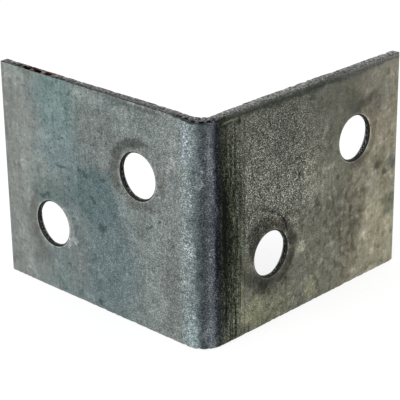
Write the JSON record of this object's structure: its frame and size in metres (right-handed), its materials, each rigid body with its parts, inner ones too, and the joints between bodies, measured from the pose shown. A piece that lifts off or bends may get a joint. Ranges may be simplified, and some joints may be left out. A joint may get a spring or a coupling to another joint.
{
  "type": "angle bracket",
  "caption": "Right-angle bracket folded from one strip of steel sheet, with staggered screw holes in both legs that open out to the inner faces.",
  "frame": {"origin": "middle of the box around the bracket, on the lower cut edge that it stands on", "axes": "+Z along the fold; +X along the right leg and +Y along the left leg, away from the fold, so the outer faces look to -Y and -X"},
  "size_m": [0.05, 0.0488, 0.04],
  "materials": {
    "steel_sheet": "dull grey mill surface, mottled, with dark cut edges"
  },
  "bodies": {
    "root": {"bracket": "steel_sheet"}
  },
  "joints": []
}
